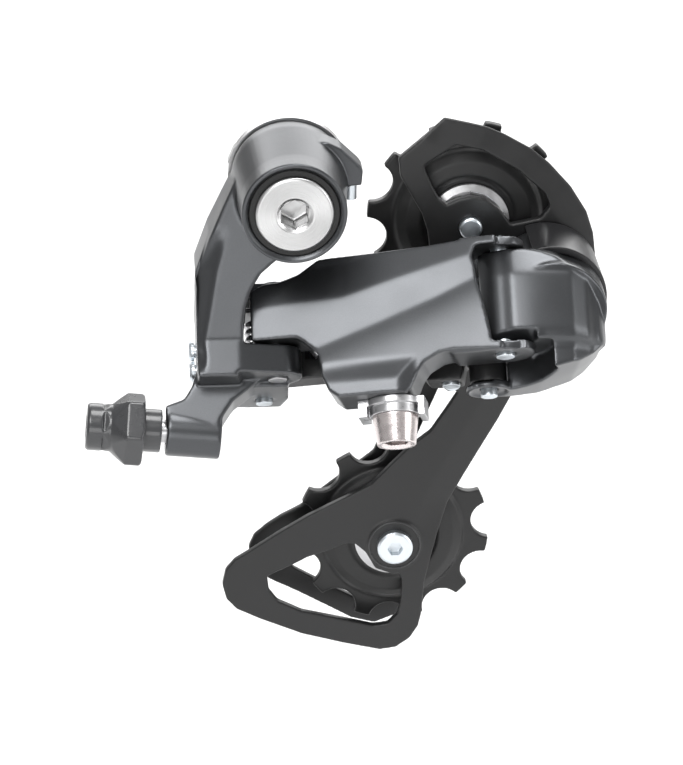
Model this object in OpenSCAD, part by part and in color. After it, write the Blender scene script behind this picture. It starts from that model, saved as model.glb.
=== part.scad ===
// Rear bicycle derailleur, drawn in its high-gear rest position.
// Frame: origin on the mounting-bolt axis at the hanger face. +X forward, +Y inboard, +Z up.

/* [Mounting pivot] */
// Radius of the threaded end that screws into the hanger
thread_r = 5.0; // [4.5:0.1:5.5]
// Length of the threaded end beyond the hanger face
thread_len = 9.2; // [7:0.1:11]
// Radius of the mounting-bolt head
bolt_head_r = 8.2; // [7:0.1:8.5]
// Radius of the bolt shank inside the bushing
shank_r = 6.0; // [5.5:0.1:6.5]
// Outer radius of the bracket ring at its front face
ring_r = 10.9; // [10:0.1:11.5]
// Distance of the ring's front face from the hanger face
ring_face = 25.5; // [24:0.1:27]

/* [Parallelogram] */
// Tilt of the link pins away from vertical
tilt = 40; // [35:0.5:45]
// Direction of the links at rest, measured in the slanted plane
link_angle = -12.5; // [-16:0.5:-8]
// Distance between the pins of one link
link_len = 48.9; // [46:0.1:52]
// Radius of the outer link pins
outer_pin_r = 2.0; // [1.8:0.05:2.3]
// Radius of the inner link pins
inner_pin_r = 1.8; // [1.6:0.05:2.1]
// Running clearance of every pivot
run_gap = 0.05; // [0.02:0.01:0.09]

/* [Cage] */
// Cage pivot position forward of the mounting bolt
cage_x = 55.3; // [53:0.1:58]
// Cage pivot position relative to the mounting bolt, upward
cage_z = -25.5; // [-28:0.1:-23]
// Outer face of the outer cage plate
plate_y = 1.0; // [0.8:0.1:1.4]
// Thickness of the outer cage plate
plate_t = 2.0; // [1.6:0.1:2.4]
// Outboard face of the inner cage plate
inner_y = 13.0; // [12.8:0.1:13.4]
// Thickness of the inner cage plate
inner_t = 1.6; // [1.4:0.1:2]

/* [Pulleys] */
// Teeth on each pulley
teeth = 11; // [10:1:12]
// Tip radius of the pulley teeth
tip_r = 22.0; // [21:0.1:23]
// Chain pitch
pitch = 12.7; // [12.6:0.1:12.8]
// Radius of the pulley bolts
pulley_bolt_r = 2.5; // [2.4:0.1:2.6]
// Width of a tooth
tooth_w = 2.2; // [1.8:0.1:2.6]

/* [Adjusting barrel] */
// Radius of the housing socket in the barrel
socket_r = 2.65; // [2.55:0.05:3.1]
// Depth of the housing socket
socket_len = 10.0; // [8:0.5:12]
// Largest radius of the barrel flange
flange_r = 7.9; // [7.4:0.1:8.1]

/* [Hidden] */
$fn = 64;
A2 = [-2.5, 13];
B1 = [link_len * cos(link_angle), link_len * sin(link_angle)];
B2 = A2 + B1;
guide_at = [39.5, -14.5];
tension_at = [23.5, -91.0];
mid_y = 8.0;
barrel_tilt = 6.2;
barrel_at = [-28.2, -24, -49.3];
clamp_at = [24.8, 0.4];
anchor_x = 40.9;

// Slanted frame: z runs along the link pins, y runs inboard and down.
module slant() {
    translate([-3.6, -20, -38.7]) rotate([-tilt, 0, 0]) children();
}

// Link frame: x runs along the link.
module link_frame() {
    slant() rotate([0, 0, link_angle]) children();
}

// Slanted frame carried on to the inner rear pin, along the link.
module inner_frame() {
    slant() translate([A2[0], A2[1], 0]) rotate([0, 0, link_angle]) children();
}

// Solid of revolution about a Y axis at (x, z); children draw (radius, y).
module turned(x = 0, z = 0) {
    translate([x, 0, z]) rotate([-90, 0, 0]) rotate_extrude() children();
}

// Outline in x and z of the frame it is drawn in, thick from y0 to y1.
module slab(y0, y1) {
    translate([0, y1, 0]) rotate([90, 0, 0]) linear_extrude(y1 - y0) children();
}

// Plain rod along z.
module rod(r, z0, z1) {
    translate([0, 0, z0]) cylinder(r = r, h = z1 - z0);
}

// Rod along Y at (x, z).
module rod_y(r, y0, y1, x = 0, z = 0) {
    translate([x, y0, z]) rotate([-90, 0, 0]) cylinder(r = r, h = y1 - y0);
}

// Hexagonal prism along z, by distance across its flats.
module hex_prism(flats, h) {
    linear_extrude(h) polygon([for (i = [0:5]) flats / sqrt(3) * [cos(60 * i), sin(60 * i)]]);
}

// Round wire wound into a coil along z.
module coil(r, wire, z0, z1, turns) {
    steps = turns * 20;
    ring = 8;
    rise = (z1 - z0 - 2 * wire) / steps;
    function wrap(i, j) = let (a = 18 * i, b = 360 / ring * j, q = r + wire * cos(b))
        [q * cos(a), q * sin(a), z0 + wire + rise * i + wire * sin(b)];
    pts = [for (i = [0:steps]) for (j = [0:ring - 1]) wrap(i, j)];
    skin = [for (i = [0:steps - 1]) for (j = [0:ring - 1])
        for (t = [0, 1]) let (k = (j + 1) % ring, p = i * ring, n = p + ring)
            t == 0 ? [p + j, n + k, n + j] : [p + j, p + k, n + k]];
    lid0 = [for (j = [ring - 1:-1:0]) j];
    lid1 = [for (j = [0:ring - 1]) steps * ring + j];
    polyhedron(points = pts, faces = concat(skin, [lid0], [lid1]));
}

// ---- Hanger side ----

module mounting_bolt() {
    color("silver") difference() {
        turned() polygon([[0, -26.2], [7.7, -26.2], [bolt_head_r, -25.7], [bolt_head_r, -23.2],
            [shank_r, -23.2], [shank_r, -1.3], [5.4, -1.3], [5.4, -0.5], [shank_r, -0.5],
            [shank_r, 0], [thread_r, 0], [thread_r, thread_len - 0.8],
            [thread_r - 0.8, thread_len], [0, thread_len]]);
        translate([0, -27, 0]) rotate([-90, 0, 0]) rotate(30) hex_prism(5.6, 6.2);
        turned() polygon([[0, -27], [4.4, -27], [3.9, -26.2], [3.1, -25.5], [0, -25.5]]);
    }
}

module snap_ring() {
    color("dimgray") difference() {
        rod_y(7.6, -1.3, -0.5);
        rod_y(5.4, -2, 1);
        translate([-1.5, -2, 2]) cube([3, 3, 9]);
    }
}

module stopper_plate() {
    color("silver") difference() {
        union() {
            rod_y(12.9, -2.4, -0.1);
            slab(-2.4, -0.1) polygon([[-9, 8.9], [-11.6, 6.2], [-12.9, 3.2], [-12, 2]]);
            translate([-10.5, -2.4, -12.4]) cube([4, 6.4, 3.2]);
        }
        rod_y(shank_r + run_gap, -4, 2);
        rod_y(8.3, -1.35, 2);
    }
}

// ---- Bracket body ----

// Plan of the lower bracket shelf under the inner rear pin.
module shelf_plan() {
    polygon([[-17, -7.4], [-8.5, -7.4], [-7.4, 1.5], [2.4, 1.9], [2.8, 12.9], [1.4, 19], [-2, 19.4],
        [-10, 18.5], [-17, 15]]);
}

module bracket_solid() {
    turned() polygon([[0, -24.7], [9.5, -24.7], [ring_r - 0.5, -ring_face],
        [ring_r - 0.1, -ring_face], [ring_r + 0.1, -ring_face + 0.3], [ring_r + 0.3, -20],
        [12.4, -6], [12.4, -2.7], [0, -2.7]]);
    difference() {
        slab(-24.4, -2.7) polygon([[-11.9, 2.4], [-14.6, -3.0], [-17.6, -9.2], [-19.8, -15.2],
            [-20.6, -17.4], [-20.3, -20], [-20.4, -26], [-20.6, -33], [-10.8, -33], [-10.7, -27], [-10.1, -23],
            [-8.8, -19.4], [-6.7, -16.3], [-3.4, -13.7], [1.5, -11.4], [4, -8], [0, 0]]);
        translate([-40, -23.4, -34]) rotate([-17, 0, 0]) translate([0, -40, -20]) cube([80, 40, 90]);
    }
    slant() {
        slab(-7.6, 4) polygon([[-17, -2], [-8.6, -2], [-8.6, 20], [-9.6, 22], [-17, 22]]);
        slab(4, 15) polygon([[-17, -2], [-8.6, -2], [-8.6, 20.4], [-17, 20.4]]);
        slab(-7.6, 3) polygon([[-17, 5.3], [-7.2, 5.3], [-7.0, 9], [-6.4, 12.8], [-6.4, 21],
            [-17, 21]]);
        rod(5.3, -0.9, 5.3);
        translate([0, 0, -0.9]) linear_extrude(6.2) polygon([[-17, -7.6], [-8, -7.6], [0.5, -5.3],
            [0, 5.3], [-17, 5.3]]);
        rod(3.9, 15.9, 19.4);
        translate([-17, -3.9, 15.9]) cube([17, 7.8, 3.5]);
        translate([0, 0, -2]) linear_extrude(2.8) shelf_plan();
        translate([A2[0], A2[1], 16.6]) cylinder(r = 4.8, h = 3.8);
        translate([-17, 8.2, 16.6]) cube([14.5, 9.6, 3.8]);
        slab(-0.6, 9.0) polygon([[-17, 2], [-18.3, -2.1], [-20, -4.8], [-24.0, -6.2], [-24.0, -11],
            [-12.9, -12], [-13.0, -10.8], [-11.4, -8.1], [-9.5, -5.4], [-5.2, -2.2],
            [-3, -0.5], [-3, 0.8], [-8, 2]]);
    }
    barrel_frame() rod(5.15, -12.2, -0.6);
    slab(-11, -5.4) polygon([[4, 10.6], [7.8, 10.2], [10.6, 8.8], [14.5, 5.0], [15.3, 3.8],
        [15.0, 0.4], [11.2, 0.1], [6, -1]]);
}

module bracket_body() {
    color("slategray") difference() {
        bracket_solid();
        rod_y(9.5, -30, -23.6);
        rod_y(bolt_head_r + run_gap, -30, -22.6);
        rod_y(9.6, -20.2, 0);
        rod_y(7.0, -30, 0);
        slant() {
            rod(outer_pin_r, -3, 40);
            translate([A2[0], A2[1], -5]) cylinder(r = inner_pin_r, h = 40);
            rod(5.6, 5.3, 15.9);
            translate([A2[0], A2[1], 0.8]) cylinder(r = 4.7, h = 15.8);
            translate([-30, 9, 8.3]) rotate([0, 90, 0]) cylinder(r = 1.5 + run_gap, h = 30);
            translate([-30, 9, 3.7]) rotate([0, 90, 0]) cylinder(r = 1.5 + run_gap, h = 30);
        }
        translate([12.8, -8.2, -5]) cylinder(r = 1.3 + run_gap, h = 8.6);
        barrel_frame() {
            rod(2.5, -20, 2);
            rod(1.1, -40, 2);
        }
    }
}

module bolt_dust_ring() {
    color("black") turned() polygon([[bolt_head_r + run_gap, -24.9], [9.3, -24.9], [9.5, -24.7],
        [9.5, -23.6], [bolt_head_r + run_gap, -23.6]]);
}

module b_bushing() {
    color("peru") difference() {
        rod_y(7.0, -22.6, -2.7);
        rod_y(shank_r + run_gap, -30, 2);
    }
}

module b_spring() {
    color("gray") translate([0, -19.8, 0]) rotate([-90, 0, 0]) coil(8.5, 0.8, 0, 16.4, 6);
}

module outer_link_rear_pin() {
    color("silver") slant() {
        rod(outer_pin_r, -1.3, 20);
        rod(2.7, 19.4, 20);
    }
}

module inner_link_rear_pin() {
    color("silver") slant() translate([A2[0], A2[1], 0]) {
        rod(inner_pin_r, -2.9, 21.0);
        rod(2.4, 20.4, 21.2);
    }
}

module b_adjust_screw() {
    color("lightsteelblue") translate([12.8, -8.2, 0]) difference() {
        rod(1.3, -3.4, 3.3);
        translate([0, 0, -4]) hex_prism(1.3, 1.8);
    }
}

module limit_screw() {
    rotate([0, 90, 0]) difference() {
        union() {
            rod(1.5, 0, 10.4);
            translate([0, 0, -1.1]) cylinder(r1 = 1.9, r2 = 2.2, h = 0.5);
            rod(2.2, -0.6, 0);
        }
        translate([-0.35, -1.3, -2]) cube([0.7, 2.6, 2.2]);
        translate([-1.3, -0.35, -2]) cube([2.6, 0.7, 2.2]);
    }
}

module high_limit_screw() {
    color("lightsteelblue") slant() translate([-17.4, 9, 8.3]) limit_screw();
}

module low_limit_screw() {
    color("lightsteelblue") slant() translate([-17.4, 9, 3.7]) limit_screw();
}

// ---- Adjusting barrel: z runs outward from the boss ----

module barrel_frame() {
    translate(barrel_at) rotate([0, -90 + barrel_tilt, 0]) children();
}

module barrel_ferrule() {
    color("silver") barrel_frame() difference() {
        union() {
            rod(2.5 - run_gap, -12, 6.8);
            rod(3.6, 4.6, 6.8);
        }
        rod(1.1, -30, 30);
    }
}

module barrel_spring() {
    color("gray") barrel_frame() coil(3.35, 0.45, 0.35, 4.55, 4);
}

module adjusting_barrel() {
    color("dimgray") barrel_frame() difference() {
        intersection() {
            rotate_extrude() polygon([[0, 0.5], [4.5, 0.5], [4.6, 0.7], [4.6, 4.3],
                [flange_r - 0.6, 4.3], [flange_r, 4.8], [flange_r, 7.9], [5.05, 11.2],
                [5.05, 15.9], [4.6, 16.4], [0, 16.4]]);
            rotate(40.6) hex_prism(14, 17);
        }
        for (i = [0:5]) rotate(10.6 + 60 * i) translate([7.2, -10, 7.5]) rotate([0, -28, 0])
            cube([6, 20, 6]);
        rod(4.1, -1, 4.3);
        rod(3.6 + run_gap, 4, 6.8 + run_gap);
        rod(socket_r, 16.4 - socket_len, 30);
        rod(1.2, -5, 30);
    }
}

// ---- Outer link ----

// Front outline of the outer link in link-frame x and z.
module outer_link_outline() {
    polygon([[-4.2, 17.2], [-1.5, 18.7], [2, 18.9], [6, 20.2], [10.5, 23.2], [22.8, 23.4],
        [33.6, 23.9], [43.5, 24.6], [45.6, 24.9], [46, 24.6], [44.2, 22.3], [43.7, 20.4],
        [44.2, 18.2], [44.4, 15.1], [45.4, 11], [46.2, 6.6], [46.8, 2.2], [48.0, 0.2],
        [46.3, 0.8], [42.1, 1.1], [38.5, 1.1], [35.5, 0.4], [32.3, -1.5], [30.7, -3.7],
        [29.3, -7.0], [28.3, -7.9], [19.9, -7.9], [13.8, -7.9], [11.9, -6.4], [10.6, -2.9],
        [9.8, 2.2], [6.7, 5.0], [4.7, 6.2], [-4.2, 5.9]]);
}

module outer_link_solid() {
    slab(-7.0, -4.9) outer_link_outline();
    rod(4.9, 5.9, 15.6);
    translate([-4.2, -7, 5.9]) cube([4.2, 7, 9.7]);
    translate([0, -7, 5.9]) cube([7, 11.9, 9.7]);
    difference() {
        translate([0, -7, 15.6]) cube([7, 10, 3.3]);
        rod(4.3, 15.6, 30);
    }
    translate([5, -7, 6.9]) cube([7, 9, 10]);
    slab(-7.0, 4.6) polygon([[10.4, -2.6], [11.9, -6.4], [13.8, -7.9], [28.3, -7.9], [29.3, -7.0],
        [30.7, -3.7], [32.3, -1.5], [31, 3], [26, 7.5], [14, 7.5], [9.9, 2.2]]);
    slab(-7.0, 5.0) polygon([[29.3, -7.0], [30.7, -3.7], [32.3, -1.5], [35.5, 0.2], [38.5, 0.6],
        [42.1, 0.4], [link_len, 0], [link_len, 1.9], [39, 2.4], [35, 2.2], [31, 1], [28, -2]]);
    slab(-7.0, -2.9) polygon([[12, 20.8], [43, 22.6], [43, 24.4], [33.6, 23.9], [12, 23.3]]);
    translate([38, -6.4, 0]) cube([link_len - 38, 12.8, 1.9]);
    translate([link_len, 0, 0]) cylinder(r = 6.4, h = 1.9);
    translate([41, -7.0, 22.9]) cube([link_len - 41, 11.8, 2.0]);
    translate([link_len, 0, 22.9]) cylinder(r = 5.2, h = 2.0);
}

module outer_link() {
    color("slategray") link_frame() difference() {
        outer_link_solid();
        rod(outer_pin_r + run_gap, -20, 40);
        translate([link_len, 0, -20]) cylinder(r = outer_pin_r, h = 60);
        translate([clamp_at[0], clamp_at[1], -20]) cylinder(r = 2.5 + run_gap, h = 23);
        translate([link_len, 0, 1.9]) cylinder(r = 5.0, h = 21);
    }
}

module outer_link_front_pin() {
    color("lightsteelblue") link_frame() translate([link_len, 0, 0]) {
        rod(outer_pin_r, -0.6, 25.5);
        rod(2.6, 24.9, 25.5);
    }
}

module cable_clamp_plate() {
    color("silver") link_frame() translate([clamp_at[0], clamp_at[1], 0]) difference() {
        union() {
            rod(6.0, -9.4, -7.9);
            translate([-7.5, -3.2, -9.4]) cube([14.2, 6.4, 1.5]);
            translate([-7.5, -3.2, -11.7]) cube([2.0, 6.4, 3]);
            translate([5.3, -3.2, -12.0]) cube([1.4, 6.4, 3]);
            rod(5.3, -11.3, -9.4);
        }
        rod(2.5 + run_gap, -20, 0);
        translate([-3, 4.6, -7.9]) rotate([0, 90, 0]) cylinder(r = 0.7, h = 6);
    }
}

module cable_clamp_bolt() {
    color("tan") link_frame() translate([clamp_at[0], clamp_at[1], 0]) difference() {
        union() {
            translate([0, 0, -17.5]) cylinder(r1 = 4.1, r2 = 4.9, h = 6.15);
            rod(2.5, -12, 2.4);
        }
        translate([0, 0, -19]) hex_prism(5, 5.2);
        translate([0, 0, -18.2]) cylinder(r1 = 3.7, r2 = 2.9, h = 1.2);
    }
}

// ---- Inner link ----

module inner_link() {
    color("darkslategray") inner_frame() difference() {
        union() {
            rod(4.0, 1.2, 8.0);
            slab(-3.4, 3.4) polygon([[0, 1.2], [link_len - 6, 1.2], [link_len, 3.0], [link_len, 13.8],
                [link_len - 7, 13.8], [30, 16.0], [9, 16.0], [7, 14], [7, 8], [0, 8]]);
            slab(-3.4, 3.4) polygon([[34, 1.4], [36.2, -1.8], [43.4, -2.0], [44.5, 3.2], [34, 3.2]]);
            translate([link_len, 0, -2.9]) cylinder(r = 4.0, h = 16.7);
        }
        translate([anchor_x, 0, -20]) cylinder(r = 1.9, h = 21.5);
        rod(inner_pin_r + run_gap, -20, 40);
        translate([link_len, 0, -20]) cylinder(r = inner_pin_r + run_gap, h = 60);
        translate([10, -5, 5.5]) cube([26, 6.6, 6.5]);
    }
}

module spring_anchor_pin() {
    color("lightsteelblue") inner_frame() translate([anchor_x, 0, 0]) rod(1.9, -2.6, 1.5);
}

module return_spring() {
    color("lightgray") inner_frame() {
        coil(3.2, 0.6, 8.35, 15.9, 4);
        translate([0, 3.2, 9.0]) rotate([0, 90, 0]) cylinder(r = 0.6, h = 6.4, $fn = 16);
        translate([0, -4.1, 10.1]) rotate([0, 90, 0]) cylinder(r = 0.6, h = 9.6, $fn = 16);
        translate([9.3, -4.1, 10.4]) rotate([0, 145, 0]) cylinder(r = 0.6, h = 6, $fn = 16);
    }
}

// ---- Cage-side knuckle ----

// Plan above the tongue of the outer link.
module p_plan_high() {
    polygon([[47.0, -15.0], [49.4, -15.9], [62, -15.7], [65.4, -14.4], [68, -11.4], [70.0, -6],
        [70.6, 2], [69, 9], [60, 14], [52, 9], [50, 0], [50, -6.4], [47.7, -6]]);
}

// Plan of the lower shelf that carries the inner front pin.
module p_plan_low() {
    polygon([[40.4, 2.4], [42, -4], [57, -15.2], [62, -15.2], [66, -13], [69, -8], [69.6, 0],
        [66, 5], [56, 6.5], [48, 6.2], [45, 7.3]]);
}

// Outline that trims the knuckle when seen along Y.
module p_trim() {
    polygon([[33, -14], [43.8, -11.2], [49, -11.4], [52.3, -12.0], [55.7, -13.1], [58.8, -14.8],
        [61.6, -16.8], [63.9, -19.4], [65.6, -22.6], [66.5, -26.6], [66.7, -30.6], [65.8, -34.0],
        [62.8, -37.2], [58, -40.2], [50, -44], [42, -46.4], [36, -47], [33, -47]]);
}

module p_solid() {
    intersection() {
        slant() translate([0, 0, 2.3]) linear_extrude(20.3) p_plan_high();
        slab(-40, 0.4) p_trim();
    }
    slant() translate([B1[0], B1[1], 2.3]) cylinder(r = 4.6, h = 20.3);
    slant() difference() {
        translate([0, 0, -4.7]) linear_extrude(7.0) p_plan_low();
        translate([B1[0], B1[1], -9]) cylinder(r = 10.8, h = 11.3);
        slab(-30, 30) polygon([[50, -9], [50, -4.7], [56.2, -4.0], [63.3, -2.0], [66.4, 0],
            [72, 5], [72, -9]]);
    }
    slant() translate([B2[0], B2[1], -4.7]) cylinder(r = 4.9, h = 2);
    rod_y(11.4, -21, -14.3, cage_x, cage_z);
    rod_y(10.6, -21, 0.4, cage_x, cage_z);
    slant() {
        translate([B2[0], B2[1], 14.2]) cylinder(r = 4.6, h = 5.8);
        translate([B2[0], B2[1] - 4.6, 14.2]) cube([8, 9.2, 5.8]);
    }
}

// Part turn about the cage axis over the top and front; children draw (radius, y).
module cover_sector() {
    translate([cage_x, 0, cage_z]) rotate([-90, 0, 0]) rotate([0, 0, -110])
        rotate_extrude(angle = 200) children();
}

module p_body() {
    color("slategray") difference() {
        p_solid();
        rod_y(8.0, -19, 2, cage_x, cage_z);
        rod_y(4.0 + run_gap, -24.2, 2, cage_x, cage_z);
        cover_sector() polygon([[10.65, -14.3], [20, -14.3], [20, 2], [10.65, 2]]);
        slant() {
            translate([B1[0], B1[1], -20]) cylinder(r = outer_pin_r + run_gap, h = 60);
            translate([B2[0], B2[1], -20]) cylinder(r = inner_pin_r, h = 60);
            translate([B2[0], B2[1], -3.2]) cylinder(r = 4.5, h = 17.4);
            translate([B2[0], B2[1], -8]) cylinder(r = 3.9, h = 3.9);
            translate([B2[0] - 14, B2[1] - 4.4, 2.3]) cube([14, 14, 11.9]);
            translate([30, -30, -3.2]) cube([16, 60, 5.8]);
            translate([40, -15.9, 4.4]) rotate([-29.2, 0, 0]) translate([0, -6, -6])
                cube([14, 10, 6]);
            rotate([0, 0, link_angle]) translate([30, -12, 2.3]) cube([link_len - 34.4, 7.4, 30]);
        }
    }
}

module p_cover() {
    color("black") cover_sector() polygon([[10.65, -14.25], [12.2, -14.25], [12.2, -0.1],
        [11.9, 0.4], [10.65, 0.4]]);
}

module p_spring() {
    color("gray") translate([cage_x, -18.6, cage_z]) rotate([-90, 0, 0]) coil(6.7, 0.8, 0, 18.4, 6);
}

module inner_link_front_pin() {
    color("lightsteelblue") slant() translate([B2[0], B2[1], 0]) {
        rod(inner_pin_r, -5.6, 20.4);
    }
}

// ---- Cage ----

module cage_axle() {
    color("silver") turned(cage_x, cage_z) polygon([[0, -23.8], [3.4, -23.8], [4.0, -23.2],
        [4.0, plate_y], [3.0, plate_y], [3.0, plate_y + plate_t], [4.6, plate_y + plate_t],
        [4.2, plate_y + plate_t + 0.7], [0, plate_y + plate_t + 0.7]]);
}

module outer_plate_outline() {
    polygon([[20.3, -118.1], [24, -117.6], [27.2, -115.3], [29.1, -112.2], [29.8, -109],
        [30.4, -101.2], [31.7, -95], [33.3, -88.7], [35.6, -81.5], [38.8, -75.4], [42.7, -68.3],
        [46.5, -61.5], [50, -54.5], [55, -45.5], [62, -38], [66.6, -32.5], [67.7, -27],
        [67.3, -23.1], [66.6, -17.2], [65, -12.2], [61.4, -6.3], [56.6, -0.8], [52.7, 2.6],
        [46.6, 6.2], [42.9, 7.9], [38.7, 9], [33.7, 10.2], [23.8, 1.7], [24.2, -2.4],
        [28.9, -11.1], [30.2, -15.3], [30.7, -19.5], [30.6, -30], [31, -42], [32.4, -49],
        [33.6, -52.2], [35.2, -53.6], [37.6, -53.4], [34.5, -58.4], [31.4, -63.2], [26.6, -67],
        [23.7, -70], [18.2, -75.9], [11.8, -79.3], [4.4, -83.1], [-2, -87], [-9.4, -91.9],
        [-12.6, -93.9], [-14.7, -96.4], [-15.5, -100], [-14.6, -103.7], [-12.3, -106.4],
        [-6.8, -109.2], [2.5, -113.3], [11.8, -116]]);
}

module outer_lower_window() {
    polygon([[-5.3, -98.3], [-4.9, -101.9], [-3, -104.6], [2.5, -107.5], [11.8, -109.9],
        [18.8, -111.8], [22.1, -111.4], [24.4, -108.8], [25.1, -105.2], [25.3, -100.4],
        [24.6, -98.4], [23.4, -98.8], [19.2, -97.1], [16.9, -92.8], [14.6, -90.7], [12.5, -90.5],
        [9, -92], [3.9, -93.7], [0.7, -95.4], [-4.4, -97.8]]);
}

module outer_upper_window() {
    polygon([[29.4, -0.1], [36.1, 4.4], [41.9, 3], [49.7, -1.8], [55.6, -7.3], [56.7, -10.2],
        [54.6, -12.9], [48.3, -14.2], [46, -10.8], [42.8, -8.2], [39.7, -7.5], [36.7, -8.1],
        [34.3, -9.2], [32.8, -8], [31.2, -5], [29.6, -1.3]]);
}

module outer_plate() {
    color("darkslategray") difference() {
        union() {
            slab(plate_y, plate_y + plate_t) outer_plate_outline();
            rod_y(6.1, 0.5, 2, tension_at[0], tension_at[1]);
        }
        slab(-5, 9) outer_lower_window();
        slab(-5, 9) outer_upper_window();
        rod_y(pulley_bolt_r, -5, 9, guide_at[0], guide_at[1]);
        rod_y(pulley_bolt_r, -5, 9, tension_at[0], tension_at[1]);
        rod_y(3.0, -5, 9, cage_x, cage_z);
        rod_y(1.6, -5, 9, 35.9, -50.5);
    }
}

module inner_plate_outline() {
    polygon([[20, -117.5], [25, -115.5], [27.4, -110], [28.4, -100], [29.6, -91], [28.4, -80],
        [28.7, -71.8], [30.6, -67.1], [34.4, -57.9], [40, -45], [46, -34], [48.6, -24],
        [47.4, -14], [44.5, -8.6], [39.5, -6.8], [34.5, -8.6], [32.2, -15], [33, -24],
        [33.4, -34], [30, -46], [25, -60], [19.6, -73.5], [16.6, -75.9], [10, -81], [2.9, -86.8],
        [-1.3, -89], [-4.6, -91.2], [-7.7, -93.9], [-8.9, -96.6], [-8.9, -99], [-7.5, -102],
        [-4.3, -105.2], [1.9, -108.5], [8.9, -112.6], [14.6, -116]]);
}

module inner_plate() {
    color("darkslategray") difference() {
        slab(inner_y, inner_y + inner_t) inner_plate_outline();
        slab(5, 20) polygon([[-3.6, -97.6], [1.4, -102.5], [6.5, -105.6], [15, -110.4],
            [20, -111.6], [22.6, -108.4], [22.9, -100.5], [17.6, -97], [14.4, -90.6], [6, -92.4]]);
        rod_y(pulley_bolt_r, 5, 20, guide_at[0], guide_at[1]);
        rod_y(pulley_bolt_r, 5, 20, tension_at[0], tension_at[1]);
    }
}

module cage_stop_pin() {
    color("lightsteelblue") turned(35.9, -50.5) polygon([[0, -1.0], [1.6, -1.0], [2.1, -0.7],
        [2.1, plate_y], [1.6, plate_y], [1.6, plate_y + plate_t], [0, plate_y + plate_t]]);
}

module guide_bolt() {
    color("lightsteelblue") difference() {
        turned(guide_at[0], guide_at[1]) polygon([[0, -0.4], [2.1, -0.4], [pulley_bolt_r, 0],
            [pulley_bolt_r, inner_y + inner_t], [4.0, inner_y + inner_t], [4.0, 16.6],
            [3.6, 17.0], [0, 17.0]]);
        translate([guide_at[0], 15, guide_at[1]]) rotate([-90, 0, 0]) hex_prism(3, 4);
    }
}

module tension_bolt() {
    color("lightsteelblue") difference() {
        turned(tension_at[0], tension_at[1]) polygon([[0, -1.5], [3.5, -1.5], [4.0, -1.1],
            [4.0, 0.5], [pulley_bolt_r, 0.5], [pulley_bolt_r, 14.8], [2.1, 15.2], [0, 15.2]]);
        translate([tension_at[0], -3, tension_at[1]]) rotate([-90, 0, 0]) hex_prism(3, 3.2);
    }
}

module bushing_at(p) {
    color("silver") difference() {
        rod_y(4.5, plate_y + plate_t, inner_y, p[0], p[1]);
        rod_y(pulley_bolt_r, 0, 20, p[0], p[1]);
    }
}

module guide_bushing() {
    bushing_at(guide_at);
}

module tension_bushing() {
    bushing_at(tension_at);
}

// Two dished side caps that press on to the bushing.
module caps_at(p) {
    color("silver") turned(p[0], p[1]) for (s = [-1, 1])
        polygon([[4.5, mid_y + 4.2 * s], [4.5, mid_y + 4.8 * s], [7.4, mid_y + 4.7 * s],
            [8.8, mid_y + 4.1 * s], [8.8, mid_y + 3.3 * s], [8.4, mid_y + 3.3 * s],
            [8.2, mid_y + 3.9 * s], [7.2, mid_y + 4.2 * s]]);
}

module guide_caps() {
    caps_at(guide_at);
}

module tension_caps() {
    caps_at(tension_at);
}

// Toothed pulley; tip is the angle of one tooth tip.
module pulley_at(p, tip) {
    seat_r = pitch / (2 * sin(180 / teeth));
    step = 360 / teeth;
    color("dimgray") translate([p[0], mid_y, p[1]]) rotate([90, 0, 0]) difference() {
        union() {
            linear_extrude(tooth_w, center = true) difference() {
                circle(r = tip_r);
                for (i = [0:teeth - 1]) rotate(tip + step * (i + 0.5)) translate([seat_r, 0])
                    circle(r = 4.5);
            }
            rotate_extrude() polygon([[4, -3.6], [7.8, -3.6], [8.0, -2.9], [9.6, -2.9], [10.6, -3.4],
                [13.6, -3.0], [15.6, -2.0], [16.6, -1.0], [16.6, 1.0], [15.6, 2.0], [13.6, 3.0],
                [10.6, 3.4], [9.6, 2.9], [8.0, 2.9], [7.8, 3.6], [4, 3.6]]);
        }
        cylinder(r = 4.5 + run_gap, h = 20, center = true);
    }
}

module guide_pulley() {
    pulley_at(guide_at, 10.3);
}

module tension_pulley() {
    pulley_at(tension_at, 22.5);
}

mounting_bolt();
snap_ring();
stopper_plate();
bracket_body();
bolt_dust_ring();
b_bushing();
b_spring();
outer_link_rear_pin();
inner_link_rear_pin();
b_adjust_screw();
high_limit_screw();
low_limit_screw();
barrel_ferrule();
barrel_spring();
adjusting_barrel();
outer_link();
outer_link_front_pin();
cable_clamp_plate();
cable_clamp_bolt();
inner_link();
spring_anchor_pin();
return_spring();
p_body();
p_cover();
p_spring();
inner_link_front_pin();
cage_axle();
outer_plate();
inner_plate();
cage_stop_pin();
guide_bolt();
tension_bolt();
guide_bushing();
tension_bushing();
guide_caps();
tension_caps();
guide_pulley();
tension_pulley();
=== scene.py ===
"""Looks of a rear bicycle derailleur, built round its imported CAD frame.

Lengths in the tables are millimetres; MM turns them into metres.
"""
import math

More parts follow.
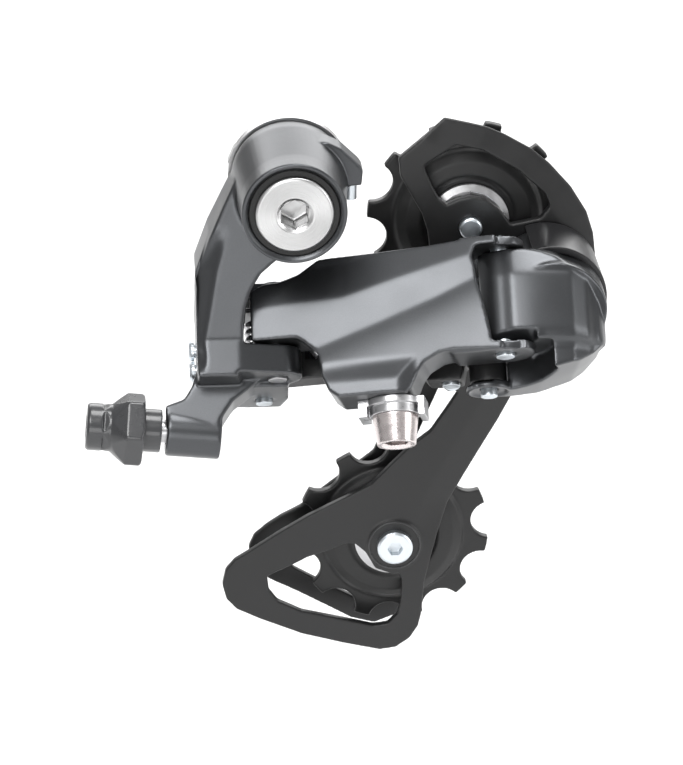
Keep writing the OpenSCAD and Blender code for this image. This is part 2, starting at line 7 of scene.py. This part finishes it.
import bpy
import numpy as np
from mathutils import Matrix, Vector


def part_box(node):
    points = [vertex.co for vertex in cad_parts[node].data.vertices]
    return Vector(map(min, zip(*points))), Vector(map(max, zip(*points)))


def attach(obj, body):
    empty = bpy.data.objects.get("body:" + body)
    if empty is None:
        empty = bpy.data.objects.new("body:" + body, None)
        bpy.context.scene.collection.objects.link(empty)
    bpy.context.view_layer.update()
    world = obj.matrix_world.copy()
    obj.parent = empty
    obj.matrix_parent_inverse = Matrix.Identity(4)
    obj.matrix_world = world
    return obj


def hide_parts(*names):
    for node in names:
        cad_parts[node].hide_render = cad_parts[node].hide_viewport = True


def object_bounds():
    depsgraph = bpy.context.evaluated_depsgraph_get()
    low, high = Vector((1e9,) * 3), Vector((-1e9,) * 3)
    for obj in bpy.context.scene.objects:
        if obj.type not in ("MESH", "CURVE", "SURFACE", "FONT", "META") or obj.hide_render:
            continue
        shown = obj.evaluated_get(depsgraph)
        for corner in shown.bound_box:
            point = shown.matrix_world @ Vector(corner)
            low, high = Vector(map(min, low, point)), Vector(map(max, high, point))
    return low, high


MM = 0.001

# The two slanted frames of the linkage: pins run along PIN, links along their own x.
TILT = math.radians(40)
LINK_ANGLE = math.radians(-12.5)
SLANT_AT = np.array([-3.6, -20.0, -38.7])
ACROSS = np.array([0.0, math.cos(TILT), -math.sin(TILT)])
PIN = np.array([0.0, math.sin(TILT), math.cos(TILT)])

# Camera
CAMERA_AT = Vector((-34.7, -660.1, 251.5)) * MM
VIEW_AZIMUTH = math.radians(-4)
VIEW_ELEVATION = math.radians(24.5)
CAMERA_LENS = 155.5
SENSOR_WIDTH = 36

# Floor: the swung linkage carries the cage well below its rest height
FLOOR_GAP = 60.0 * MM
FLOOR_REACH = 4.0

# Rounding of the remeshed pieces
ROUNDING = 0.5
RING_ROUNDING = 0.06
RING_REACH = 11.6
RING_DEPTH = -22.5


# ---- Coordinates ----

def slant_axes(angle):
    """Rows are the x, y and z axes of the slanted frame turned by angle about the pins."""
    c, s = math.cos(angle), math.sin(angle)
    x_axis = np.array([1.0, 0.0, 0.0])
    return np.stack([c * x_axis + s * ACROSS, -s * x_axis + c * ACROSS, PIN])


def to_slant(points, angle=0.0):
    """World metres to slanted-frame millimetres."""
    return (points / MM - SLANT_AT) @ slant_axes(angle).T


def from_slant(points, angle=0.0):
    """Slanted-frame millimetres to world metres."""
    return (points @ slant_axes(angle) + SLANT_AT) * MM


def ramp(values, start, end):
    """0 before start, 1 after end and smooth between."""
    t = np.clip((values - start) / (end - start), 0, 1)
    return t * t * (3 - 2 * t)


def soft_excess(values, blend):
    """How far values pass zero, with a rounded start of the given blend."""
    return 0.5 * (values + np.sqrt(values * values + blend * blend))


# ---- Mesh tools ----

def mesh_arrays(mesh):
    """Vertex and edge arrays of a mesh."""
    co = np.empty(len(mesh.vertices) * 3)
    mesh.vertices.foreach_get("co", co)
    edges = np.empty(len(mesh.edges) * 2, dtype=np.int64)
    mesh.edges.foreach_get("vertices", edges)
    return co.reshape(-1, 3), edges.reshape(-1, 2)


def relax(co, edges, passes, strength):
    """Evens a mesh out, which rounds its edges; strength may differ by vertex."""
    n = len(co)
    both = np.concatenate([edges, edges[:, ::-1]])
    count = np.maximum(np.bincount(both[:, 0], minlength=n), 1)
    for _ in range(passes):
        mean = np.stack([np.bincount(both[:, 0], weights=co[both[:, 1], k], minlength=n)
                         for k in range(3)], axis=1) / count[:, None]
        co = co + strength * (mean - co)
    return co


def new_object(name, mesh):
    """Links a mesh as a new smooth-shaded object."""
    obj = bpy.data.objects.new(name, mesh)
    bpy.context.scene.collection.objects.link(obj)
    mesh.shade_smooth()
    return obj


def even_mesh(source, voxel):
    """An evenly divided closed mesh with the shape of a CAD node."""
    temp = bpy.data.objects.new("temp_even", source.data.copy())
    bpy.context.scene.collection.objects.link(temp)
    remesh = temp.modifiers.new("even", "REMESH")
    remesh.mode = "VOXEL"
    remesh.voxel_size = voxel * MM
    graph = bpy.context.evaluated_depsgraph_get()
    mesh = bpy.data.meshes.new_from_object(temp.evaluated_get(graph))
    bpy.data.objects.remove(temp)
    return mesh


def round_evenly(co):
    """Full rounding everywhere."""
    return ROUNDING


def spare_bolt_ring(co):
    """Full rounding, but hardly any on the stepped ring round the mounting bolt."""
    p = co / MM
    near = (np.hypot(p[:, 0], p[:, 2]) < RING_REACH) & (p[:, 1] < RING_DEPTH)
    return np.where(near, RING_ROUNDING, ROUNDING)[:, None]


def cast_piece(node, body, slot, material, voxel, passes, reshape=None, rounding=round_evenly):
    """A piece that stands for a CAD node, with rounded edges and an optional reshaping."""
    mesh = even_mesh(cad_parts[node], voxel)
    co, edges = mesh_arrays(mesh)
    if reshape:
        co = relax(co, edges, 2, rounding(co))
        co = reshape(co)
    co = relax(co, edges, passes, rounding(co))
    mesh.vertices.foreach_set("co", co.ravel())
    mesh.update()
    mesh.materials.clear()
    mesh.materials.append(material)
    obj = new_object(node + "_form", mesh)
    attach(obj, body)
    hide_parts(node)
    return obj


def turned_piece(name, body, material, axis_at, profile, steps=96):
    """A ring turned round an axis along Y; profile is a closed loop of (radius, y)."""
    verts = [((axis_at[0] + r * math.cos(a)) * MM, y * MM, (axis_at[1] + r * math.sin(a)) * MM)
             for a in (2 * math.pi * k / steps for k in range(steps)) for r, y in profile]
    n = len(profile)
    faces = [(k * n + i, k * n + (i + 1) % n, (k + 1) % steps * n + (i + 1) % n,
              (k + 1) % steps * n + i) for k in range(steps) for i in range(n)]
    mesh = bpy.data.meshes.new(name)
    mesh.from_pydata(verts, [], faces)
    mesh.materials.append(material)
    obj = new_object(name, mesh)
    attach(obj, body)
    return obj


def edge_distance(px, pz, outline):
    """Distance of each point from an open outline in the X-Z plane, in millimetres."""
    best = np.full(len(px), 1e9)
    for (ax, az), (bx, bz) in zip(outline, outline[1:]):
        dx, dz = bx - ax, bz - az
        t = np.clip(((px - ax) * dx + (pz - az) * dz) / (dx * dx + dz * dz), 0, 1)
        best = np.minimum(best, np.hypot(px - ax - t * dx, pz - az - t * dz))
    return best


# ---- Materials ----

class Shader:
    """A Principled material with short helpers for its nodes."""

    def __init__(self, name, metallic, roughness, colour):
        self.mat = bpy.data.materials.new(name)
        self.mat.use_nodes = True
        self.tree = self.mat.node_tree
        self.bsdf = self.tree.nodes["Principled BSDF"]
        self.bsdf.inputs["Metallic"].default_value = metallic
        self.bsdf.inputs["Roughness"].default_value = roughness
        self.bsdf.inputs["Base Color"].default_value = (*colour, 1)
        self.coords = self.tree.nodes.new("ShaderNodeTexCoord").outputs["Object"]

    def add(self, kind, **values):
        made = self.tree.nodes.new(kind)
        for key, value in values.items():
            made.inputs[key.replace("_", " ")].default_value = value
        return made

    def link(self, output, target):
        self.tree.links.new(output, target)

    def noise(self, scale, detail=4.0, stretch=(1, 1, 1)):
        """Noise value at scale per metre, stretched along the axes."""
        place = self.add("ShaderNodeMapping")
        place.inputs["Scale"].default_value = stretch
        self.link(self.coords, place.inputs["Vector"])
        made = self.add("ShaderNodeTexNoise", Scale=scale, Detail=detail)
        self.link(place.outputs["Vector"], made.inputs["Vector"])
        return made.outputs["Fac"]

    def blend(self, factor, low, high):
        """Maps a 0 to 1 value to the range low to high."""
        made = self.add("ShaderNodeMapRange")
        made.inputs["To Min"].default_value = low
        made.inputs["To Max"].default_value = high
        made.inputs["From Min"].default_value = 0.3
        made.inputs["From Max"].default_value = 0.7
        self.link(factor, made.inputs["Value"])
        return made.outputs["Result"]

    def tint(self, factor, dark, light):
        """Colour between dark and light by a 0 to 1 value."""
        made = self.tree.nodes.new("ShaderNodeMix")
        made.data_type = "RGBA"
        made.inputs["A"].default_value = (*dark, 1)
        made.inputs["B"].default_value = (*light, 1)
        self.link(factor, made.inputs["Factor"])
        return made.outputs["Result"]

    def bump(self, height, distance, strength=1.0):
        """Feeds a height in millimetres of distance to the normal."""
        made = self.add("ShaderNodeBump", Strength=strength, Distance=distance * MM)
        self.link(height, made.inputs["Height"])
        self.link(made.outputs["Normal"], self.bsdf.inputs["Normal"])
        return made

    def radial(self, centre, scale, along="Y"):
        """Noise that runs round an axis, as turning or brushing marks do."""
        shift = self.add("ShaderNodeMapping")
        shift.inputs["Location"].default_value = [-c for c in centre]
        self.link(self.coords, shift.inputs["Vector"])
        split = self.add("ShaderNodeSeparateXYZ")
        self.link(shift.outputs["Vector"], split.inputs["Vector"])
        keep = [k for k in "XYZ" if k != along]
        square = []
        for k in keep:
            m = self.tree.nodes.new("ShaderNodeMath")
            m.operation = "MULTIPLY"
            self.link(split.outputs[k], m.inputs[0])
            self.link(split.outputs[k], m.inputs[1])
            square.append(m.outputs[0])
        total = self.tree.nodes.new("ShaderNodeMath")
        total.operation = "ADD"
        self.link(square[0], total.inputs[0])
        self.link(square[1], total.inputs[1])
        root = self.tree.nodes.new("ShaderNodeMath")
        root.operation = "SQRT"
        self.link(total.outputs[0], root.inputs[0])
        join = self.add("ShaderNodeCombineXYZ")
        self.link(root.outputs[0], join.inputs["X"])
        self.link(split.outputs[along], join.inputs["Y"])
        made = self.add("ShaderNodeTexNoise", Scale=scale, Detail=3.0)
        self.link(join.outputs["Vector"], made.inputs["Vector"])
        return made.outputs["Fac"]


def cast_paint():
    """Satin metallic paint: fine flake, slight orange peel and colour drift."""
    s = Shader("cast_paint", 0.9, 0.33, (0.075, 0.078, 0.083))
    flake = s.noise(9000, 2)
    drift = s.noise(60, 3)
    s.link(s.tint(flake, (0.058, 0.061, 0.065), (0.105, 0.108, 0.114)),
           s.bsdf.inputs["Base Color"])
    s.link(s.blend(drift, 0.30, 0.37), s.bsdf.inputs["Roughness"])
    s.bump(s.noise(2600, 3), 0.02, 0.35)
    s.bsdf.inputs["Coat Weight"].default_value = 0.15
    s.bsdf.inputs["Coat Roughness"].default_value = 0.3
    return s.mat


def brushed_silver(name, centre, colour=(0.60, 0.60, 0.60), rough=(0.24, 0.36)):
    """Turned metal with marks that run round the axis."""
    s = Shader(name, 1.0, 0.28, colour)
    marks = s.radial(centre, 5200)
    s.link(s.blend(marks, *rough), s.bsdf.inputs["Roughness"])
    tone = s.noise(220, 3)
    dark = [c * 0.9 for c in colour]
    s.link(s.tint(tone, dark, colour), s.bsdf.inputs["Base Color"])
    s.bump(marks, 0.012, 0.5)
    round_axis = s.add("ShaderNodeTangent")
    round_axis.direction_type = "RADIAL"
    round_axis.axis = "Y"
    s.link(round_axis.outputs["Tangent"], s.bsdf.inputs["Tangent"])
    s.bsdf.inputs["Anisotropic"].default_value = 0.75
    return s.mat


def plain_metal(name, colour, low, high, grain=3200):
    """Plated or worn steel with light mottling."""
    s = Shader(name, 1.0, low, colour)
    mottle = s.noise(700, 5)
    s.link(s.blend(mottle, low, high), s.bsdf.inputs["Roughness"])
    dark = [c * 0.82 for c in colour]
    s.link(s.tint(mottle, dark, colour), s.bsdf.inputs["Base Color"])
    s.bump(s.noise(grain, 3), 0.01, 0.5)
    return s.mat


def plastic(name, dark, light, low, high, grain, depth, coat=0.0):
    """Moulded plastic or thick paint with a fine texture."""
    s = Shader(name, 0.0, low, dark)
    cloud = s.noise(180, 4)
    s.link(s.tint(cloud, dark, light), s.bsdf.inputs["Base Color"])
    s.link(s.blend(cloud, low, high), s.bsdf.inputs["Roughness"])
    s.bump(s.noise(grain, 3), depth, 0.6)
    s.bsdf.inputs["Coat Weight"].default_value = coat
    s.bsdf.inputs["Coat Roughness"].default_value = 0.12
    return s.mat


# ---- Reshaping of the cast parts ----

TOP_FACET_SLOPE = 0.24
LOW_FACET_DEPTH = 1.7
LOW_FACET_RATE = 0.17
CAP_TOP_SLOPE = 0.30
CAP_LOW_SLOPE = 0.5
CAP_CROWN = 0.011
CAP_MIDDLE = 55.5
RIDGE_UPPER = ((-5, 12.5), (6.4, 13.6), (15.6, 13.9), (32.2, 18.1), (48, 21.8))
RIDGE_LOWER = ((-5, 1.0), (9.8, 3.0), (23.1, 7.5), (35.7, 12.0), (48, 17.2))


def reshape_outer_link(co):
    """Three facets on the link's face, split by two soft ridges."""
    p = to_slant(co, LINK_ANGLE)
    front = 1 - ramp(p[:, 1], -5.6, -3.6)
    upper = np.interp(p[:, 0], *zip(*RIDGE_UPPER))
    lower = np.interp(p[:, 0], *zip(*RIDGE_LOWER))
    over = soft_excess(p[:, 2] - upper, 0.5)
    under = soft_excess(lower - p[:, 2], 0.5)
    web = np.maximum(ramp(p[:, 2], -5.5, 0.5), ramp(p[:, 0], 26, 31))
    low_facet = LOW_FACET_DEPTH * (1 - np.exp(-LOW_FACET_RATE * under))
    back = TOP_FACET_SLOPE * over + web * low_facet
    p[:, 1] += front * np.minimum(back, 1.8)
    return from_slant(p, LINK_ANGLE)


def reshape_p_body(co):
    """Bevels the cap's top and bottom bands and rounds its outer side."""
    p = to_slant(co)
    front = 1 - ramp(p[:, 1], -13.5, -8.0)
    top = np.minimum(soft_excess(p[:, 2] - 16.4, 0.7), 6.0)
    low = soft_excess(4.0 - p[:, 2], 0.7) * ramp(p[:, 0], 53, 56)
    crown = np.minimum(CAP_CROWN * (p[:, 0] - CAP_MIDDLE) ** 2, 1.6)
    p[:, 1] += front * (CAP_TOP_SLOPE * top + CAP_LOW_SLOPE * np.minimum(low, 3.5) + crown)
    return from_slant(p)


ARM_RIDGE = ((-36, -19.7), (-30.6, -19.6), (-24.2, -18.2), (-15.1, -16.4), (-8.6, -14.0),
             (0, -10.6))
ARM_FLANK_SLOPE = 1.3
ARM_FLANK_DROP = 0.45


def reshape_bracket(co):
    """Turns the arm's rear edge into a facet that slopes back and down from a ridge."""
    p = co / MM
    ridge = np.interp(p[:, 2], *zip(*ARM_RIDGE))
    face = -23.4 + 0.306 * (p[:, 2] + 34)
    limit = face + ARM_FLANK_SLOPE * (ridge - p[:, 0])
    over = np.minimum(soft_excess(limit - p[:, 1], 0.5), 5.0)
    share = (ramp(p[:, 2], -35, -31) * (1 - ramp(p[:, 2], -16, -6))
             * ramp(ridge - p[:, 0], -0.8, 0.2))
    p[:, 1] += share * over
    p[:, 2] -= ARM_FLANK_DROP * share * over
    return p * MM


PLATE_RIM = ((67.7, -27), (67.3, -23.1), (66.6, -17.2), (65, -12.2), (61.4, -6.3), (56.6, -0.8),
             (52.7, 2.6), (46.6, 6.2), (42.9, 7.9), (38.7, 9), (33.7, 10.2))
PLATE_FLANK = ((20.3, -118.1), (24, -117.6), (27.2, -115.3), (29.1, -112.2), (29.8, -109),
               (30.4, -101.2), (31.7, -95), (33.3, -88.7), (35.6, -81.5), (38.8, -75.4),
               (42.7, -68.3), (46.5, -61.5), (50, -54.5), (55, -45.5), (62, -38), (66.6, -32.5))


def reshape_outer_plate(co):
    """Slopes the plate's top rim and front flank towards the wheel."""
    p = co / MM
    front = 1 - ramp(p[:, 1], 1.6, 2.9)
    rim = 6.0 - edge_distance(p[:, 0], p[:, 2], PLATE_RIM)
    flank = 6.2 - edge_distance(p[:, 0], p[:, 2], PLATE_FLANK)
    slope = 0.24 * soft_excess(rim, 0.5) + 0.22 * soft_excess(flank, 0.6) * ramp(p[:, 2], -95, -80)
    p[:, 1] += front * np.clip(slope, 0, 1.35)
    return p * MM


# ---- Pieces ----

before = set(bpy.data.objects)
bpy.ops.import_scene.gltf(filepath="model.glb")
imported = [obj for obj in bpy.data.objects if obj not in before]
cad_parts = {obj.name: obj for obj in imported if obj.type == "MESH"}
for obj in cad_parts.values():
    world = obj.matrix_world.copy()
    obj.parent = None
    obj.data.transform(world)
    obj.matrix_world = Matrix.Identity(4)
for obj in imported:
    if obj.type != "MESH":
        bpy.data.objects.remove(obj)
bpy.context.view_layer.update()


def centre_of(node):
    """Middle of a CAD node's box."""
    low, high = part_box(node)
    return [(a + b) / 2 for a, b in zip(low, high)]


PAINT = cast_paint()
BLACK_PLATE = plastic("plate_black", (0.007, 0.007, 0.0073), (0.012, 0.012, 0.0125), 0.36, 0.46,
                      2600, 0.02)
# Lighter grey than the black plate: a painted highlight for the light caught on the rim round the
# tension bolt boss.
RIM_PAINTED_HIGHLIGHT = plastic("boss_rim_painted_highlight", (0.030, 0.030, 0.031), (0.045, 0.045, 0.046), 0.32, 0.42, 2600,
                   0.015)
PULLEY = plastic("pulley_nylon", (0.004, 0.004, 0.0042), (0.009, 0.009, 0.0092), 0.34, 0.48,
                 1500, 0.02)
GLOSS = plastic("cover_gloss", (0.010, 0.010, 0.011), (0.016, 0.016, 0.017), 0.3, 0.4, 900, 0.008,
                0.1)
DUST = plastic("dust_ring", (0.004, 0.004, 0.004), (0.008, 0.008, 0.008), 0.5, 0.62, 3000, 0.02)
GRIP = plastic("barrel_grip", (0.026, 0.027, 0.029), (0.042, 0.043, 0.046), 0.26, 0.36, 2000,
               0.015, 0.4)
SILVER = brushed_silver("bolt_silver", centre_of("mounting_bolt"))
STOP_SILVER = brushed_silver("stopper_silver", centre_of("mounting_bolt"))
ZINC = plain_metal("zinc_plate", (0.78, 0.83, 0.87), 0.3, 0.42)
STEEL = plain_metal("steel", (0.62, 0.62, 0.63), 0.26, 0.4)
WIRE = plain_metal("spring_wire", (0.24, 0.24, 0.25), 0.28, 0.42)
CLAMP = plain_metal("clamp_steel", (0.84, 0.77, 0.76), 0.22, 0.32)
BUSHING = plain_metal("bushing_metal", (0.5, 0.38, 0.22), 0.35, 0.5)

CAST = (
    # node, body, slot, material, voxel, smoothing passes, reshape
    ("bracket_body", "bracket", "body_paint", PAINT, 0.22, 14, reshape_bracket, spare_bolt_ring),
    ("outer_link", "outer_arm", "body_paint", PAINT, 0.24, 12, reshape_outer_link),
    ("p_body", "cage_knuckle", "body_paint", PAINT, 0.24, 14, reshape_p_body),
    ("inner_link", "inner_arm", "plate_black", BLACK_PLATE, 0.26, 6, None),
    ("outer_plate", "cage", "plate_black", BLACK_PLATE, 0.26, 5, reshape_outer_plate),
    ("inner_plate", "cage", "plate_black", BLACK_PLATE, 0.26, 4, None),
    ("guide_pulley", "guide_wheel", "pulley_plastic", PULLEY, 0.24, 4, None),
    ("tension_pulley", "tension_wheel", "pulley_plastic", PULLEY, 0.24, 4, None),
    ("adjusting_barrel", "barrel_grip", "barrel_plastic", GRIP, 0.14, 5, None),
    ("mounting_bolt", "hanger_side", "bolt_silver", SILVER, 0.14, 3, None),
    ("cable_clamp_plate", "outer_arm", "steel", STEEL, 0.10, 3, None),
    ("cable_clamp_bolt", "clamp_bolt", "clamp_steel", CLAMP, 0.10, 3, None),
    ("p_cover", "cage_knuckle", "seal_plastic", GLOSS, 0.2, 3, None),
    ("guide_bolt", "cage", "zinc", ZINC, 0.10, 3, None),
    ("tension_bolt", "cage", "zinc", ZINC, 0.10, 3, None),
    ("outer_link_rear_pin", "bracket", "steel", STEEL, 0.10, 3, None),
    ("inner_link_rear_pin", "bracket", "zinc", ZINC, 0.10, 3, None),
    ("outer_link_front_pin", "outer_arm", "zinc", ZINC, 0.10, 3, None),
    ("inner_link_front_pin", "cage_knuckle", "zinc", ZINC, 0.10, 3, None),
    ("spring_anchor_pin", "inner_arm", "zinc", ZINC, 0.08, 3, None),
    ("cage_stop_pin", "cage", "zinc", ZINC, 0.08, 3, None),
    ("b_adjust_screw", "b_screw", "zinc", ZINC, 0.08, 2, None),
)
for entry in CAST:
    cast_piece(*entry)

# Raised rim round the tension bolt boss, coloured lighter grey than the plate as a painted
# highlight.
BOSS_RIM = [(6.0, 0.95), (6.0, 0.5), (5.85, 0.3), (5.65, 0.3), (5.55, 0.5), (5.55, 0.95)]
tension_centre = centre_of("tension_bolt")
turned_piece("tension_boss_rim", "cage", RIM_PAINTED_HIGHLIGHT,
             (tension_centre[0] / MM, tension_centre[2] / MM), BOSS_RIM)

PLAIN = {
    "snap_ring": WIRE, "stopper_plate": STOP_SILVER, "bolt_dust_ring": DUST, "b_bushing": BUSHING,
    "b_spring": WIRE, "high_limit_screw": ZINC, "low_limit_screw": ZINC, "barrel_ferrule": STEEL,
    "barrel_spring": WIRE, "return_spring": STEEL, "p_spring": WIRE, "cage_axle": STEEL,
    "guide_bushing": STEEL, "tension_bushing": STEEL, "guide_caps": STEEL, "tension_caps": STEEL,
}
for node, material in PLAIN.items():
    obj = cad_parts[node]
    for index in range(len(obj.material_slots)):
        obj.material_slots[index].link = "OBJECT"
        obj.material_slots[index].material = material


# ---- Studio ----

def area_light(name, place, target, width, height, power):
    """A soft rectangular lamp aimed at target."""
    data = bpy.data.lights.new(name, "AREA")
    data.shape = "RECTANGLE"
    data.size = width
    data.size_y = height
    data.energy = power
    obj = bpy.data.objects.new(name, data)
    obj.location = place
    aim = Vector(target) - Vector(place)
    obj.rotation_euler = aim.to_track_quat("-Z", "Y").to_euler()
    bpy.context.scene.collection.objects.link(obj)
    return obj


LAMPS = (
    # name, direction from the object, distance, width, height, power
    ("key", (-0.28, -0.51, 0.80), 0.9, 0.5, 0.34, 4.6),
    ("fill", (-0.2, -0.97, 0.16), 1.1, 0.7, 0.4, 3.0),
    ("side", (0.9, -0.35, 0.25), 0.8, 0.25, 0.5, 1.6),
    ("top", (0.2, 0.1, 0.97), 0.9, 0.4, 0.4, 5.0),
    ("back", (0.1, 0.9, 0.42), 1.0, 1.2, 0.5, 6.0),
)


def studio():
    """Pale floor, soft lamps, bright surroundings and the camera."""
    low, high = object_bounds()
    middle = [(a + b) / 2 for a, b in zip(low, high)]
    floor_mesh = bpy.data.meshes.new("floor")
    level = low[2] - FLOOR_GAP
    corners = [(x * FLOOR_REACH, y * FLOOR_REACH, level)
               for x, y in ((-1, -1), (1, -1), (1, 1), (-1, 1))]
    floor_mesh.from_pydata(corners, [], [(0, 1, 2, 3)])
    paper = plastic("paper_floor", (0.86, 0.86, 0.86), (0.9, 0.9, 0.9), 0.7, 0.9, 400, 0.01)
    floor_mesh.materials.append(paper)
    floor = bpy.data.objects.new("floor", floor_mesh)
    bpy.context.scene.collection.objects.link(floor)
    for name, direction, distance, width, height, power in LAMPS:
        place = [m + distance * d for m, d in zip(middle, direction)]
        area_light(name, place, middle, width, height, power)
    world = bpy.data.worlds.new("surroundings")
    world.use_nodes = True
    sky = world.node_tree.nodes["Background"]
    sky.inputs["Color"].default_value = (1, 1, 1, 1)
    sky.inputs["Strength"].default_value = 0.42
    bpy.context.scene.world = world
    look = Vector((-math.sin(VIEW_AZIMUTH) * math.cos(VIEW_ELEVATION),
                   math.cos(VIEW_AZIMUTH) * math.cos(VIEW_ELEVATION), -math.sin(VIEW_ELEVATION)))
    camera_data = bpy.data.cameras.new("camera")
    camera_data.lens = CAMERA_LENS
    camera_data.sensor_width = SENSOR_WIDTH
    camera = bpy.data.objects.new("camera", camera_data)
    camera.location = CAMERA_AT
    camera.rotation_euler = look.to_track_quat("-Z", "Y").to_euler()
    bpy.context.scene.collection.objects.link(camera)
    bpy.context.scene.camera = camera
    bpy.context.scene.view_settings.view_transform = "Standard"


studio()
